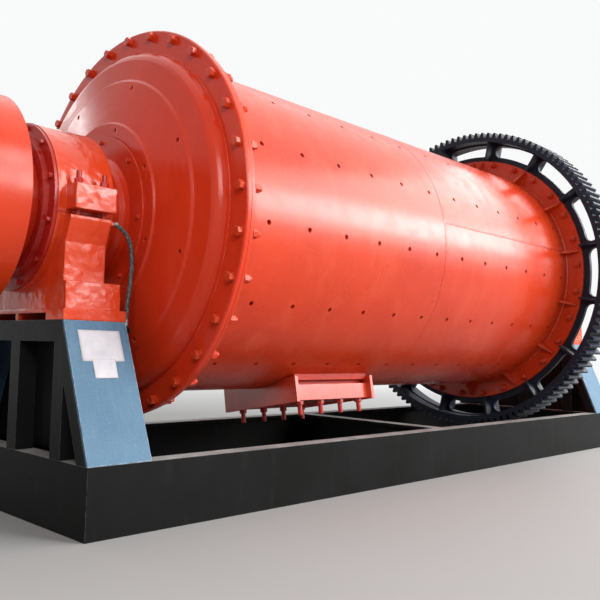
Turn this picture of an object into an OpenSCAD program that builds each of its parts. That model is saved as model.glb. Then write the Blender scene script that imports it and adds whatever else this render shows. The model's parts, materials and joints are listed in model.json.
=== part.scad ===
// Ball mill on a welded steel base. The mill axis runs along X: the feed end is at -X and the
// girth gear end at +X. Z = 0 is the floor and the whole machine is centred on the origin.
// Inside the modules s is the distance from the joint of the feed head and the shell.

/* [Shell] */
// Inner diameter of the shell
shell_bore = 1500; // [1400:10:1560]
// Plate thickness of the shell
shell_wall = 20; // [14:1:24]
// Length of the shell between its two end joints
shell_len = 2970; // [2700:10:3300]
// Height of the mill axis above the floor
axis_h = 1247; // [1240:1:1300]
// Outer diameter of the bolted end flanges
flange_od = 1756; // [1740:2:1790]
// Thickness of one end flange
flange_t = 26; // [20:1:32]
// Edge chamfer of the end flanges
flange_chamfer = 5; // [2:1:8]

/* [Liner bolt holes] */
// Rows of liner bolt holes round the shell
hole_rows = 14; // [8:1:18]
// Holes in one row
holes_per_row = 12; // [6:1:12]
// Distance of the first hole of a row from the feed joint
hole_start = 190; // [150:1:240]
// Distance of the last hole of a row from the far end joint
hole_end = 118; // [90:1:200]
// Diameter of a liner bolt hole
hole_d = 22; // [16:1:28]
// Angle of the first row above the horizontal on the front side
hole_angle = 22.6; // [0:0.1:25]

/* [Heads] */
// Outward reach of the head at the trunnion flange
head_depth = 147; // [135:1:165]
// Radius of the outer step of the head
head_step_r1 = 640; // [600:1:680]
// Radius of the inner step of the head
head_step_r2 = 440; // [410:1:470]
// Height of each head step
head_step_h = 9; // [6:1:12]
// Plate thickness of the head
head_t = 42; // [34:1:50]
// Radius of the round shoulder of the head
head_round = 60; // [40:1:64]
// Outer radius of the shoulder, where it meets the head flange
head_shoulder_r = 776; // [765:1:785]
// Liner bolt holes on each of the two circles of a head
head_holes = 8; // [4:1:12]
// Radius of the outer circle of holes
head_hole_r1 = 600; // [560:2:610]
// Radius of the inner circle of holes
head_hole_r2 = 404; // [396:2:412]
// Diameter of the liner bolt holes in the heads
head_hole_d = 20; // [14:1:26]
// Angle of the first hole of each circle above the horizontal on the front side
head_hole_angle = 27.4; // [0:0.1:45]

/* [Trunnions] */
// Diameter of the trunnion journals
journal_d = 500; // [460:2:520]
// Bore diameter of the trunnions
trunnion_bore = 390; // [340:2:410]
// Outer diameter of the trunnion flanges
trunnion_flange_d = 744; // [700:2:790]
// Thickness of the trunnion flanges
trunnion_flange_t = 26; // [20:1:34]
// How far a trunnion flange stands proud of the pocket in its head
flange_proud = 8; // [2:1:14]
// Distance from the feed joint to the middle of the feed bearing
feed_bearing_s = 395; // [385:1:420]
// Distance from the far end of the base back to the middle of the discharge bearing
bearing_inset = 98; // [90:1:110]
// Length of the spout ring on the discharge trunnion
spout_len = 74; // [60:1:76]

/* [Girth gear] */
// Number of teeth
gear_teeth = 132; // [120:2:132]
// Gear module
gear_module = 16; // [14:0.5:16]
// Face width of the gear rim
gear_face = 220; // [180:2:240]
// Thickness of the gear web
gear_web_t = 30; // [22:1:36]
// Number of slots in the web
web_slots = 16; // [8:1:18]
// Radius of the middle of the slots
slot_mid_r = 955; // [945:1:958]
// Radial width of a slot
slot_w = 84; // [60:1:86]
// Angle from end to end of one slot
slot_span = 19.5; // [14:0.5:20]
// Gussets between the shell and its flange at the gear
flange_gussets = 15; // [8:1:18]

/* [Manhole] */
// Length of the manhole cover
manhole_len = 600; // [540:5:640]
// Width of the manhole cover
manhole_w = 488; // [430:2:520]
// Angle of the manhole, below the horizontal on the front side
manhole_angle = 80; // [70:1:100]
// Thickness of the manhole cover
manhole_cover_t = 78; // [50:1:84]
// Diameter of the cover bolts
manhole_bolt_d = 24; // [18:1:30]
// Distance between two cover bolts along the cover
manhole_bolt_pitch = 151; // [130:1:160]
// Length of the cover bolts below the cover
manhole_bolt_len = 70; // [50:1:90]

/* [Feeder] */
// Outer diameter of the drum feeder
feeder_d = 856; // [780:4:900]
// Length of the straight part of the drum feeder
feeder_len = 420; // [360:5:480]
// Length of the cone at its open end
feeder_cone = 130; // [80:5:180]
// Plate thickness of the drum feeder
feeder_wall = 10; // [6:1:14]
// Diameter of the feed opening
feed_mouth_d = 380; // [300:5:440]

/* [Bearings] */
// Outer diameter of the bearing barrel
barrel_d = 698; // [680:2:730]
// Width of the bearing barrel
barrel_w = 240; // [220:2:250]
// Width of the bearing block along the axis
block_w = 174; // [150:2:200]
// Wall of the bearing bush
bush_t = 40; // [30:1:46]
// Height of the bearing split line below the axis
split_drop = 53; // [40:1:60]
// Open gap between the ears of the cap and the housing
ear_gap = 22; // [20:1:36]
// Reach of the cap ears from the axis
ear_reach = 424; // [410:1:440]
// Thickness of the bolted end cover
cover_t = 14; // [10:1:18]
// Radial clearance between journal and bush
journal_clearance = 0.3; // [0.2:0.05:0.5]

/* [Base] */
// Length of the base frame
base_len = 4579; // [4400:1:4800]
// Width of the base frame
base_w = 1216; // [1180:2:1300]
// Height of the base frame
base_h = 260; // [200:2:262]
// Flange width of the base channels
channel_w = 90; // [70:1:100]
// Web thickness of the base channels
channel_web = 11; // [8:1:14]
// Flange thickness of the base channels
channel_flange = 14; // [10:1:18]
// Distance from the feed joint to the feed end of the base
base_overhang = 493; // [480:1:560]

/* [Pedestals] */
// Length of a pedestal along the axis
pedestal_len = 272; // [250:2:290]
// Width of a pedestal at its top
pedestal_top_w = 770; // [740:2:790]
// Height of the top beam of a pedestal
pedestal_beam_h = 83; // [60:1:100]
// Depth of the pedestal posts and beams along the axis
post_depth = 75; // [60:1:90]
// Width of the posts
post_w = 77; // [60:1:90]
// Thickness of the sloping side plates
side_plate_t = 12; // [8:1:16]
// Thickness of the plate that closes a pedestal
pedestal_web_t = 10; // [6:1:14]
// Thickness of the bearing foot plate
foot_t = 43; // [36:1:50]

/* [Lubrication hose] */
// Outer diameter of the hose
hose_d = 18; // [12:1:24]

/* [Hidden] */
seat = 0.3;
feed_flange_step = 8;
shell_r = shell_bore / 2 + shell_wall;
bore_r = shell_bore / 2;
flange_r = flange_od / 2;
journal_r = journal_d / 2;
trunnion_r = trunnion_bore / 2;
trunnion_flange_r = trunnion_flange_d / 2;
head_seat = head_depth + flange_proud - trunnion_flange_t;
discharge_joint = shell_len + gear_web_t;
base_s0 = -base_overhang;
base_s1 = base_s0 + base_len;
discharge_bearing_s = base_s1 - bearing_inset;
discharge_reach = discharge_bearing_s - discharge_joint;
cover_step_h = 20;
cover_reach = barrel_w / 2 + seat + cover_t + cover_step_h;
feeder_stand = 105.7;
feeder_s = -(feed_bearing_s + cover_reach + feeder_stand);
feeder_end = feeder_s - feeder_len - feeder_cone;
running_gap = 9.7;
spout_s = discharge_bearing_s + cover_reach + running_gap;
spout_end = spout_s + spout_len;
mid_s = (feeder_end + spout_end) / 2;
post_mid_y = pedestal_top_w / 2 - 19;
notch_w = 236;
notch_h = 28;
notch_mid_y = 130;
housing_r = journal_r + bush_t;
barrel_r = barrel_d / 2;
column_half = barrel_r + 5;
column_waist = -165;
column_top_half = column_half + 36;
block_h = 107;
block_half = pedestal_top_w / 2 - 13;
ear_root = barrel_r - 49;
ear_h = 96;
block_overhang = 62;
gusset_h = flange_r - shell_r - 16;
base_top = base_h - axis_h;
foot_top = -(barrel_r + 73);
foot_bottom = foot_top - foot_t;
pitch_r = gear_teeth * gear_module / 2;
tip_r = pitch_r + gear_module;
root_r = pitch_r - 1.25 * gear_module;
rim_t = 30;
rib_t = 14;
rib_gap = 6;
rib_inset = 16;
tooth_root_share = 0.34;
tooth_tip_share = 0.13;
rim_r = root_r - rim_t;
web_mid = shell_len + gear_web_t / 2;
row_step = 360 / hole_rows;
hole_pitch = (shell_len - hole_start - hole_end) / (holes_per_row - 1);
manhole_s = hole_start + 3.5 * hole_pitch;
manhole_flange_d = 745;
manhole_flange_t = 17;
manhole_lip = 22;
manhole_wall = 20;
cover_inner = manhole_flange_d + manhole_flange_t + manhole_lip;
cover_outer = cover_inner + manhole_cover_t;

// Places the axis system: children keep s along X and the mill axis at y = z = 0
module mill() {
    translate([-mid_s, 0, axis_h]) children();
}

// Turns a shape drawn round Z into one round the mill axis, starting at s
module along(s) {
    translate([s, 0, 0]) rotate([0, 90, 0]) children();
}

// Turns what stands on top of the axis to an angle counted from the front (-Y) upward
module at_angle(angle) {
    rotate([90 - angle, 0, 0]) children();
}

module ring(s, length, outer, inner) {
    along(s) difference() {
        cylinder(r = outer, h = length, $fn = 128);
        translate([0, 0, -1]) cylinder(r = inner, h = length + 2, $fn = 128);
    }
}

// Revolved profile of [radius, s] points round the mill axis
module revolved(points) {
    rotate([0, 90, 0]) rotate_extrude($fn = 128) polygon(points);
}

// Mirrors a feed end piece to the discharge end, so that offset 0 meets the discharge joint
module discharge_side() {
    translate([discharge_joint, 0, 0]) mirror([1, 0, 0]) children();
}

module liner_holes(first, last) {
    for (row = [0 : hole_rows - 1], i = [first : last])
        translate([hole_start + i * hole_pitch, 0, 0])
            at_angle(hole_angle - row * row_step)
                translate([0, 0, bore_r - 20])
                    cylinder(d = hole_d, h = shell_wall + 40, $fn = 24);
}

module in_manhole() {
    translate([manhole_s, 0, 0]) at_angle(-manhole_angle) children();
}

module slab(length, width, from, to) {
    translate([-length / 2, -width / 2, from]) cube([length, width, to - from]);
}

module shell_course_feed() {
    color("orangered") mill() difference() {
        ring(0, shell_len / 2, shell_r, bore_r);
        liner_holes(0, floor(holes_per_row / 2) - 1);
        in_manhole() slab(manhole_len - 140, manhole_w - 120, bore_r - 80, shell_r + 40);
    }
}

module shell_course_discharge() {
    color("orangered") mill() difference() {
        ring(shell_len / 2, shell_len / 2, shell_r, bore_r);
        liner_holes(floor(holes_per_row / 2), holes_per_row - 1);
    }
}

module flange_ring(s, r) {
    mill() revolved([
        [shell_r + seat, s], [r - flange_chamfer, s], [r, s + flange_chamfer],
        [r, s + flange_t - flange_chamfer], [r - flange_chamfer, s + flange_t],
        [shell_r + seat, s + flange_t]
    ]);
}

module feed_shell_flange() {
    color("orangered") flange_ring(0, flange_r - feed_flange_step);
}

module flange_gusset(height, reach, thickness) {
    translate([shell_len - flange_t, thickness / 2, shell_r + seat]) rotate([90, 0, 0])
        linear_extrude(thickness)
            polygon([[1, 0], [1, height], [-20, height], [-reach, 12], [-reach, 0]]);
}

module discharge_shell_flange() {
    color("orangered") {
        flange_ring(shell_len - flange_t, flange_r);
        mill() for (i = [0 : flange_gussets - 1])
            at_angle(9.5 + i * 360 / flange_gussets) flange_gusset(gusset_h, gusset_h, 12);
    }
}

// Outline of the stepped head with its round shoulder, as [radius, outward distance]
function head_outline() = let (
        plateau = head_depth - head_step_h, rise = 34, low = plateau - rise - head_step_h, lip = 10,
        shoulder_c = head_shoulder_r - head_round, pocket_r = trunnion_flange_r + 1, corner = 24
    ) concat(
    [
        [journal_r + seat, head_seat], [pocket_r, head_seat], [pocket_r, head_depth],
        [head_step_r2 - lip + 2, head_depth], [head_step_r2, plateau],
        [head_step_r1 - lip, plateau - rise], [head_step_r1, low]
    ],
    [for (a = [0 : 15 : 90]) [shoulder_c + head_round * sin(a), flange_t + head_round * cos(a)]],
    [
        [flange_r - flange_chamfer, flange_t], [flange_r, flange_t - flange_chamfer],
        [flange_r, flange_chamfer], [flange_r - flange_chamfer, 0], [bore_r - lip, 0],
        [bore_r - corner, corner - 2], [head_step_r1 - lip, plateau - rise - head_t],
        [head_step_r2, head_depth - head_t], [pocket_r, head_seat - head_t],
        [journal_r + seat, head_seat - head_t]
    ]
);

module head_holes_at(radius) {
    for (i = [0 : head_holes - 1]) at_angle(head_hole_angle + i * 360 / head_holes)
        translate([1, 0, radius]) rotate([0, -90, 0])
            cylinder(d = head_hole_d, h = head_depth + 2, $fn = 24);
}

module head_body() {
    difference() {
        revolved([for (q = head_outline()) [q[0], -q[1]]]);
        head_holes_at(head_hole_r1);
        head_holes_at(head_hole_r2);
    }
}

module feed_head() {
    color("orangered") mill() head_body();
}

module discharge_head() {
    color("orangered") mill() discharge_side() head_body();
}

// Hollow trunnion whose flange seats on the head and whose journal ends at reach
module trunnion_body(reach) {
    face = head_seat + trunnion_flange_t;
    revolved([
        [trunnion_r, -(head_seat - head_t)], [journal_r, -(head_seat - head_t)], [journal_r, -head_seat],
        [trunnion_flange_r, -head_seat], [trunnion_flange_r, -face],
        [journal_r + 26, -face], [journal_r + 8, -(face + 14)],
        [journal_r, -(face + 34)], [journal_r, -reach], [trunnion_r, -reach]
    ]);
}

module feed_trunnion() {
    color("firebrick") mill() trunnion_body(10 - feeder_s);
}

module discharge_trunnion() {
    color("firebrick") mill() discharge_side() trunnion_body(spout_s + 21 - discharge_joint);
}

// Half a tooth pitch of the gear outline, as polar points [radius, angle in degrees]
function tooth(i) = let (
        step = 360 / gear_teeth, mid = i * step,
        half_root = step * tooth_root_share, half_pitch = step / 4, half_tip = step * tooth_tip_share
    ) [
        [root_r, mid - half_root], [pitch_r, mid - half_pitch], [tip_r, mid - half_tip],
        [tip_r, mid + half_tip], [pitch_r, mid + half_pitch], [root_r, mid + half_root]
    ];

module toothed_rim() {
    outline = [
        for (i = [0 : gear_teeth - 1]) for (q = tooth(i)) [q[0] * cos(q[1]), q[0] * sin(q[1])]
    ];
    difference() {
        translate([0, 0, -gear_face / 2]) linear_extrude(gear_face) polygon(outline);
        cylinder(r = rim_r, h = gear_face + 2, center = true, $fn = 128);
    }
}

module web_slot(angle) {
    end_angle = slot_span / 2 - asin(slot_w / 2 / slot_mid_r);
    far = slot_mid_r * 1.3;
    rotate([0, 0, angle]) {
        intersection() {
            difference() {
                cylinder(r = slot_mid_r + slot_w / 2, h = gear_web_t * 3, center = true, $fn = 128);
                cylinder(r = slot_mid_r - slot_w / 2, h = gear_web_t * 4, center = true, $fn = 128);
            }
            linear_extrude(gear_web_t * 3, center = true) polygon([
                [0, 0], [far, -far * tan(end_angle)], [far, far * tan(end_angle)]
            ]);
        }
        for (side = [-1, 1]) rotate([0, 0, side * end_angle]) translate([slot_mid_r, 0, 0])
            cylinder(d = slot_w - 1, h = gear_web_t * 3, center = true, $fn = 48);
    }
}

// Ribs between two slots, on one side of the web, from the hub to the rim
module web_ribs() {
    length = gear_face / 2 - gear_web_t / 2 - rib_inset;
    for (i = [0 : web_slots - 1]) rotate([0, 0, (i + 0.5) * 360 / web_slots])
        translate([flange_r + rib_gap, -rib_t / 2, gear_web_t / 2 - 1])
            cube([rim_r + 1 - flange_r - rib_gap, rib_t, length + 1]);
}

module gear_web() {
    color("darkslategray") mill() along(web_mid) difference() {
        union() {
            cylinder(r = rim_r - seat, h = gear_web_t, center = true, $fn = 128);
            intersection() {
                union() {
                    web_ribs();
                    mirror([0, 0, 1]) web_ribs();
                }
                cylinder(r = rim_r - seat, h = gear_face, center = true, $fn = 128);
            }
        }
        cylinder(r = bore_r + 10, h = gear_web_t + 2, center = true, $fn = 128);
        for (i = [0 : web_slots - 1]) web_slot(i * 360 / web_slots);
    }
}

module gear_rim() {
    color("darkslategray") mill() along(web_mid) toothed_rim();
}

module manhole_frame() {
    opening_l = manhole_len - 60 - 2 * manhole_wall;
    opening_w = manhole_w - 60 - 2 * manhole_wall;
    color("firebrick") mill() difference() {
        in_manhole() union() {
            slab(manhole_len - 46, manhole_w, bore_r - 80, manhole_flange_d + manhole_flange_t);
            slab(manhole_len - 60, manhole_w - 60, bore_r - 80, cover_inner - seat);
        }
        in_manhole() slab(opening_l, opening_w, bore_r - 100, cover_inner + 1);
        along(0) cylinder(r = shell_r + seat, h = shell_len / 2, $fn = 128);
    }
}

module manhole_cover() {
    color("orangered") mill() difference() {
        in_manhole() {
            slab(manhole_len - 40, manhole_w, cover_inner, cover_outer);
            for (side = [-1, 1]) translate([side * (manhole_len / 2 - 11), 0, 0])
                slab(20, manhole_w + 56, manhole_flange_d, cover_outer + 8);
        }
        in_manhole() slab(manhole_len - 160, manhole_w - 160, cover_inner - 1, cover_outer - 22);
        along(0) cylinder(r = shell_r + seat, h = shell_len / 2, $fn = 128);
    }
}

module manhole_bolts() {
    color("firebrick") mill() in_manhole() for (i = [-1.5 : 1.5], side = [-1, 1])
        translate([i * manhole_bolt_pitch, side * (manhole_w / 2 - 30), cover_outer + seat]) {
            cylinder(d = manhole_bolt_d, h = manhole_bolt_len, $fn = 32);
            cylinder(d = manhole_bolt_d * 1.7, h = 20, $fn = 6);
        }
}

module drum_feeder() {
    end_r = feed_mouth_d / 2;
    r = feeder_d / 2;
    color("orangered") mill() revolved([
        [r, feeder_s], [r, feeder_s - feeder_len], [end_r + 30, feeder_s - feeder_len - feeder_cone],
        [end_r, feeder_s - feeder_len - feeder_cone], [end_r, feeder_s - feeder_len - feeder_cone + 24],
        [end_r + 22, feeder_s - feeder_len - feeder_cone + 24],
        [r - feeder_wall, feeder_s - feeder_len + 6], [r - feeder_wall, feeder_s - 12],
        [journal_r + seat, feeder_s - 12], [journal_r + seat, feeder_s]
    ]);
}

module feeder_neck() {
    color("firebrick") mill()
        ring(feeder_s + seat, 24, journal_r + 52, journal_r + seat);
}

module discharge_spout() {
    collar = spout_s;
    flare = spout_s + 22;
    color("firebrick") mill() revolved([
        [journal_r + seat, collar], [journal_r + 60, collar], [journal_r + 60, collar + 20],
        [journal_r + 20, collar + 20], [journal_r + 14, flare], [journal_r + 34, spout_end - 6],
        [journal_r + 34, spout_end], [journal_r + 22, spout_end], [journal_r, flare + 3],
        [journal_r + seat, flare]
    ]);
}

// Bearing pieces are drawn round the middle of the bearing, with the mill to the +X side
module yz_prism(from, to, points) {
    translate([from, 0, 0]) rotate([90, 0, 90]) linear_extrude(to - from) polygon(points);
}

function both_sides(points) = concat(
    points, [for (i = [len(points) - 1 : -1 : 0]) [-points[i][0], points[i][1]]]
);

module bearing_housing() {
    inner = -block_w / 2;
    outer = block_w / 2;
    shoulder = -(split_drop + ear_gap / 2);
    foot_s0 = -bearing_inset;
    difference() {
        union() {
            intersection() {
                along(-barrel_w / 2) cylinder(r = barrel_r, h = barrel_w, $fn = 128);
                translate([-barrel_w, -barrel_r - 1, -barrel_r - 1])
                    cube([barrel_w * 2, barrel_r * 2 + 2, barrel_r + 1 - split_drop]);
            }
            yz_prism(inner, outer, both_sides([
                [-column_top_half, shoulder], [-column_top_half, shoulder - 12],
                [-column_half, column_waist], [-column_half, foot_top + block_h - 1]
            ]));
            yz_prism(inner, outer + block_overhang, both_sides([
                [-block_half, foot_top + block_h], [-block_half - 6, foot_top - 1]
            ]));
            translate([foot_s0, -pedestal_top_w / 2, foot_bottom + seat])
                cube([pedestal_len, pedestal_top_w, foot_t]);
        }
        along(-barrel_w) cylinder(r = housing_r, h = barrel_w * 2, $fn = 128);
        for (side = [-1, 1])
            translate([foot_s0 - 1, side * notch_mid_y - notch_w / 2, foot_bottom - 1])
                cube([pedestal_len + 2, notch_w, notch_h + 1]);
    }
}

module bearing_cap() {
    ear_bottom = -(split_drop - ear_gap / 2);
    difference() {
        union() {
            intersection() {
                along(-barrel_w / 2) cylinder(r = barrel_r, h = barrel_w, $fn = 128);
                translate([-barrel_w, -barrel_r - 1, -split_drop + seat])
                    cube([barrel_w * 2, barrel_r * 2 + 2, barrel_r * 2]);
            }
            for (side = [-1, 1])
                translate([-block_w / 2, side > 0 ? ear_root : -ear_reach, ear_bottom])
                    cube([block_w, ear_reach - ear_root, ear_h]);
        }
        along(-barrel_w) cylinder(r = housing_r, h = barrel_w * 2, $fn = 128);
    }
}

module bearing_bush() {
    ring(-barrel_w / 2, barrel_w, housing_r - seat, journal_r + journal_clearance);
}

module bearing_cover() {
    outer = -barrel_w / 2 - seat;
    difference() {
        revolved([
            [journal_r + 6, outer], [barrel_r - 3, outer], [barrel_r - 3, outer - cover_t],
            [barrel_r - 52, outer - cover_t], [barrel_r - 56, outer - cover_t - cover_step_h],
            [journal_r + 6, outer - cover_t - cover_step_h]
        ]);
        for (i = [0 : 11]) at_angle(15 + 30 * i) translate([-barrel_w, 0, barrel_r - 24])
            rotate([0, 90, 0]) cylinder(d = 14, h = barrel_w * 2, $fn = 24);
    }
}

module feed_bearing() {
    mill() translate([-feed_bearing_s, 0, 0]) children();
}

module discharge_bearing() {
    mill() translate([discharge_bearing_s, 0, 0]) mirror([1, 0, 0]) children();
}

// Threaded boss that the hose screws on to
module hose_boss(from, to) {
    along(from) cylinder(d = hose_d + 10, h = to - from, $fn = 6);
}

module feed_bearing_housing() {
    color("orangered") feed_bearing() bearing_housing();
    color("orangered") mill() translate([0, hose_in[1], hose_in[2]])
        hose_boss(block_w / 2 - feed_bearing_s - 1, hose_in[0] - seat);
}

module feed_bearing_cap() {
    color("orangered") feed_bearing() bearing_cap();
}

module feed_bearing_bush() {
    color("darkgoldenrod") feed_bearing() bearing_bush();
}

module feed_bearing_cover() {
    color("firebrick") feed_bearing() bearing_cover();
}

module discharge_bearing_housing() {
    color("orangered") discharge_bearing() bearing_housing();
}

module discharge_bearing_cap() {
    color("orangered") discharge_bearing() bearing_cap();
}

module discharge_bearing_bush() {
    color("darkgoldenrod") discharge_bearing() bearing_bush();
}

module discharge_bearing_cover() {
    color("firebrick") discharge_bearing() bearing_cover();
}

// Channel with its web outward along the front of a corner-mitred rectangle
module channel(length) {
    function strip(depth) = [[0, 0], [length, 0], [length - depth, depth], [depth, depth]];
    linear_extrude(base_h) polygon(strip(channel_web));
    linear_extrude(channel_flange) polygon(strip(channel_w));
    translate([0, 0, base_h - channel_flange])
        linear_extrude(channel_flange) polygon(strip(channel_w));
}

module base_frame() {
    translate([base_s0 - mid_s, 0, 0]) children();
}

module base_beam_near() {
    color("dimgray") base_frame() translate([0, -base_w / 2, 0]) channel(base_len);
}

module base_beam_far() {
    color("dimgray") base_frame() translate([base_len, base_w / 2, 0])
        rotate([0, 0, 180]) channel(base_len);
}

module base_end_feed() {
    color("dimgray") base_frame() translate([0, base_w / 2, 0])
        rotate([0, 0, -90]) channel(base_w);
}

module base_end_discharge() {
    color("dimgray") base_frame() translate([base_len, -base_w / 2, 0])
        rotate([0, 0, 90]) channel(base_w);
}

module crossbeam(middle) {
    half_in = base_w / 2 - channel_w;
    half_web = base_w / 2 - channel_web;
    translate([middle - channel_w / 2, -half_in, 0]) cube([channel_w, half_in * 2, channel_flange]);
    translate([middle - channel_w / 2, -half_in, base_h - channel_flange])
        cube([channel_w, half_in * 2, channel_flange]);
    translate([middle - channel_web / 2, -half_in, 1]) cube([channel_web, half_in * 2, base_h - 2]);
    translate([middle - channel_web / 2, -half_web, channel_flange])
        cube([channel_web, half_web * 2, base_h - 2 * channel_flange]);
}

module base_crossbeams() {
    inner_post = pedestal_len - post_depth / 2;
    color("dimgray") base_frame() {
        crossbeam(inner_post);
        crossbeam(base_len / 2);
        crossbeam(base_len - inner_post);
    }
}

// Pedestal drawn from its outer end face toward the mill, heights from the mill axis
module pedestal_trestle(from) {
    top = foot_bottom;
    beam = top - pedestal_beam_h;
    half_top = pedestal_top_w / 2 - side_plate_t;
    half_base = base_w / 2 - side_plate_t - 3;
    slope = (half_base - half_top) / (top - base_top);
    half_beam = half_top + slope * pedestal_beam_h;
    leg = 65;
    yz_prism(from, from + post_depth,
        [[-half_beam, beam], [half_beam, beam], [half_top, top], [-half_top, top]]);
    for (side = [-1, 1]) yz_prism(from, from + post_depth, [
        [side * half_base, base_top], [side * half_beam, beam],
        [side * (half_beam - leg), beam], [side * (half_base - leg), base_top]
    ]);
    for (y = [-post_mid_y, 0, post_mid_y])
        yz_prism(from, from + post_depth, [
            [y - post_w / 2, base_top], [y + post_w / 2, base_top],
            [y + post_w / 2, beam], [y - post_w / 2, beam]
        ]);
}

// Plate that closes the pedestal behind its outer trestle
module pedestal_web() {
    half_top = pedestal_top_w / 2 - side_plate_t;
    half_base = base_w / 2 - side_plate_t - 3;
    back = pedestal_len - post_depth;
    yz_prism(back - pedestal_web_t, back + 1, [
        [-half_base, base_top], [half_base, base_top], [half_top, foot_bottom], [-half_top, foot_bottom]
    ]);
}

module pedestal_frame() {
    top = foot_bottom;
    pedestal_web();
    pedestal_trestle(0);
    pedestal_trestle(pedestal_len - post_depth);
    for (side = [-1, 1])
        translate([post_depth - 1, side * (post_mid_y - 46) - 30, top - pedestal_beam_h])
            cube([pedestal_len - 2 * post_depth + 2, 60, pedestal_beam_h]);
}

module side_plate(side) {
    top = foot_bottom;
    half_top = pedestal_top_w / 2;
    half_base = base_w / 2 - 3;
    yz_prism(2, pedestal_len - 2, [
        [side * half_base, base_top + seat], [side * half_top, top],
        [side * (half_top - side_plate_t + seat), top],
        [side * (half_base - side_plate_t + seat), base_top + seat]
    ]);
}

module feed_pedestal() {
    mill() translate([base_s0, 0, 0]) children();
}

module discharge_pedestal() {
    mill() translate([base_s1, 0, 0]) mirror([1, 0, 0]) children();
}

module feed_pedestal_frame() {
    color("dimgray") feed_pedestal() pedestal_frame();
    color("dimgray") mill() translate([hose_out[0], hose_out[1], hose_out[2] - hose_d - 12 - seat]) {
        translate([-17, -12, 0]) cube([30, 24, hose_d + 6]);
        cylinder(d = hose_d + 6, h = hose_d + 12, $fn = 6);
    }
}

module feed_plate_near() {
    color("steelblue") feed_pedestal() side_plate(-1);
}

module feed_plate_far() {
    color("steelblue") feed_pedestal() side_plate(1);
}

module discharge_pedestal_frame() {
    color("dimgray") discharge_pedestal() pedestal_frame();
}

module discharge_plate_near() {
    color("steelblue") discharge_pedestal() side_plate(-1);
}

module discharge_plate_far() {
    color("steelblue") discharge_pedestal() side_plate(1);
}

// Middle line of the hose: out of the bearing block, over and down to the pedestal's top beam
hose_route = [
    [-297, -378, -79], [-284, -378, -79], [-260, -378, -88], [-238, -378, -104], [-221, -378, -126],
    [-210, -378, -152], [-204, -378, -178], [-200, -377, -205], [-198, -376, -232], [-197, -374, -260],
    [-197, -371, -287], [-198, -369, -314], [-200, -366, -342], [-201, -364, -369], [-203, -362, -397],
    [-204, -361, -424], [-205, -360, -452], [-205, -360, -479]
];

hose_in = hose_route[0];
hose_out = hose_route[len(hose_route) - 1];

function unit(v) = v / norm(v);

function hose_ring(i, sides) = let (
        last = len(hose_route) - 1,
        ahead = unit(hose_route[min(i + 1, last)] - hose_route[max(i - 1, 0)]),
        side = unit(cross(ahead, [0, 1, 0])),
        up = cross(side, ahead)
    ) [for (k = [0 : sides - 1])
        hose_route[i] + hose_d / 2 * (side * cos(360 * k / sides) + up * sin(360 * k / sides))];

module lube_hose() {
    sides = 12;
    rings = len(hose_route);
    points = [for (i = [0 : rings - 1]) for (q = hose_ring(i, sides)) q];
    walls = [for (i = [0 : rings - 2]) for (k = [0 : sides - 1])
        [i * sides + k, i * sides + (k + 1) % sides, (i + 1) * sides + (k + 1) % sides, (i + 1) * sides + k]];
    first = [for (k = [sides - 1 : -1 : 0]) k];
    last = [for (k = [0 : sides - 1]) (rings - 1) * sides + k];
    color("black") mill() polyhedron(points, concat(walls, [first, last]), convexity = 4);
}

base_beam_near();
base_beam_far();
base_end_feed();
base_end_discharge();
base_crossbeams();
feed_pedestal_frame();
feed_plate_near();
feed_plate_far();
discharge_pedestal_frame();
discharge_plate_near();
discharge_plate_far();
feed_bearing_housing();
feed_bearing_cap();
feed_bearing_bush();
feed_bearing_cover();
discharge_bearing_housing();
discharge_bearing_cap();
discharge_bearing_bush();
discharge_bearing_cover();
lube_hose();
shell_course_feed();
shell_course_discharge();
feed_shell_flange();
discharge_shell_flange();
feed_head();
discharge_head();
feed_trunnion();
discharge_trunnion();
gear_rim();
gear_web();
manhole_frame();
manhole_cover();
manhole_bolts();
drum_feeder();
feeder_neck();
discharge_spout();
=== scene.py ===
import json
import math

import bmesh
import bpy
from mathutils import Matrix, Vector, noise


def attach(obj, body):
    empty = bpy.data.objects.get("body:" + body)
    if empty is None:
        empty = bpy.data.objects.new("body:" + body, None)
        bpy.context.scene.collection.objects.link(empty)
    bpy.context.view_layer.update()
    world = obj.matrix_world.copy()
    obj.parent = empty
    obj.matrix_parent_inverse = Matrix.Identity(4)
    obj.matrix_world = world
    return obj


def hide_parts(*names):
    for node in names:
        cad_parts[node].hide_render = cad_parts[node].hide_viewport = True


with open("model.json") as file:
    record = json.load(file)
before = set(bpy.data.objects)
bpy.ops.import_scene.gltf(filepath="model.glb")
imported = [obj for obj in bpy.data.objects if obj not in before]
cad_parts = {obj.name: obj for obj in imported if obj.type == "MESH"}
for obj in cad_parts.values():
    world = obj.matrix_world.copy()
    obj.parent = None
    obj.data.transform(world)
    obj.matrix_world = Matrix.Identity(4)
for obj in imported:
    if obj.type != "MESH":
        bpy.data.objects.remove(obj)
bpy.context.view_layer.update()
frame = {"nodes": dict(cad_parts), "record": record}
scene = bpy.context.scene

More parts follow.
